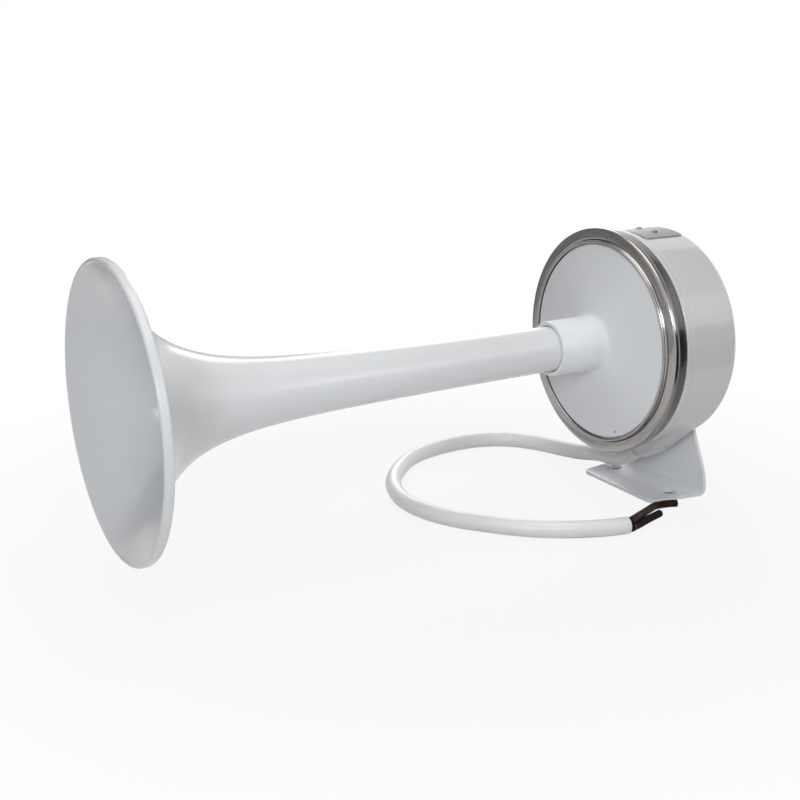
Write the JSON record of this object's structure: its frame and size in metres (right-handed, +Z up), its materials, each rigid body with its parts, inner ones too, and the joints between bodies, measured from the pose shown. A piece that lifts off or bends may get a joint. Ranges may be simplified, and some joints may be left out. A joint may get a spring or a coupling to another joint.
{
  "type": "electric horn",
  "caption": "Marine electric horn with a long flared trumpet on a clamped diaphragm drum, a bent sheet mounting bracket and a two-core lead.",
  "frame": {"origin": "on the underside of the bracket's foot, midway between its two mounting holes", "axes": "+X along the horn towards the bell's mouth, +Z up, +Y to the horn's left seen along +X"},
  "size_m": [0.373, 0.1936, 0.1735],
  "materials": {
    "trumpet_plastic": "gloss, white",
    "cover_plastic": "gloss, white",
    "white_paint": "gloss, white",
    "white_sheet": "semi-gloss, white",
    "ring_steel": "polished",
    "spring_steel": "satin",
    "core_iron": "machined",
    "fastener_steel": "satin",
    "grey_plate": "matt, grey",
    "seal_rubber": "matt, black",
    "boot_rubber": "matt, light grey",
    "jacket_pvc": "satin, white",
    "black_insulation": "satin, black",
    "brown_insulation": "satin, brown",
    "bobbin_nylon": "matt, ivory",
    "copper_wire": "enamelled copper",
    "phenolic": "matt, brown",
    "contact_metal": "plain",
    "leaf_bronze": "plain",
    "terminal_brass": "plain",
    "capacitor_can": "matt, blue"
  },
  "bodies": {
    "horn": {"trumpet": "trumpet_plastic", "trumpet_gasket": "seal_rubber", "front_cover": "cover_plastic", "clamp_ring": "ring_steel", "front_gasket": "seal_rubber", "diaphragm": "spring_steel", "rear_gasket": "seal_rubber", "housing": "white_paint", "nameplate": "grey_plate", "nameplate_rivets": "fastener_steel", "mounting_bracket": "white_sheet", "bracket_washer": "fastener_steel", "bracket_nut": "fastener_steel", "bracket_screws": "fastener_steel", "pole_core": "core_iron", "magnet_shell": "core_iron", "coil_bobbin": "bobbin_nylon", "coil_winding": "copper_wire", "breaker_block": "phenolic", "breaker_spacer": "phenolic", "contact_arm": "spring_steel", "fixed_contact": "contact_metal", "breaker_washer": "phenolic", "breaker_screws": "fastener_steel", "adjuster_nut": "fastener_steel", "adjuster_seal": "seal_rubber", "spark_capacitor": "capacitor_can", "capacitor_clip": "spring_steel", "capacitor_screw": "fastener_steel", "terminal_block": "bobbin_nylon", "terminal_screws": "terminal_brass", "block_screw": "fastener_steel", "inner_cable": "jacket_pvc", "inner_cores": "black_insulation", "coil_leads": "copper_wire", "cable_boot": "boot_rubber", "cable_jacket": "jacket_pvc", "black_core": "black_insulation", "brown_core": "brown_insulation"},
    "armature": {"armature": "core_iron", "armature_washer": "fastener_steel", "armature_nut": "fastener_steel"},
    "leaf": {"contact_leaf": "leaf_bronze", "push_button": "phenolic", "moving_contact": "contact_metal"},
    "adjuster": {"adjusting_screw": "fastener_steel"}
  },
  "joints": [
    {"name": "armature_stroke", "type": "slide", "parent": "horn", "child": "armature", "axis": [1, 0, 0], "range_m": [-0.0005, 0], "stiffness_N_per_m": 4000, "deforming": ["diaphragm"]},
    {"name": "leaf_bend", "type": "hinge", "parent": "horn", "child": "leaf", "pos_m": [0.01675, 0.048, 0.097], "axis": [0, 0, 1], "range_deg": [-2, 0], "deforming": ["contact_leaf"]},
    {"name": "adjuster_turn", "type": "hinge", "parent": "horn", "child": "adjuster", "pos_m": [-0.0205, 0.044, 0.108], "axis": [1, 0, 0], "range_deg": [-180, 180]}
  ],
  "couplings": [
    {"joint": "leaf_bend", "follows": "armature_stroke", "rad_per_m": 66.667}
  ]
}
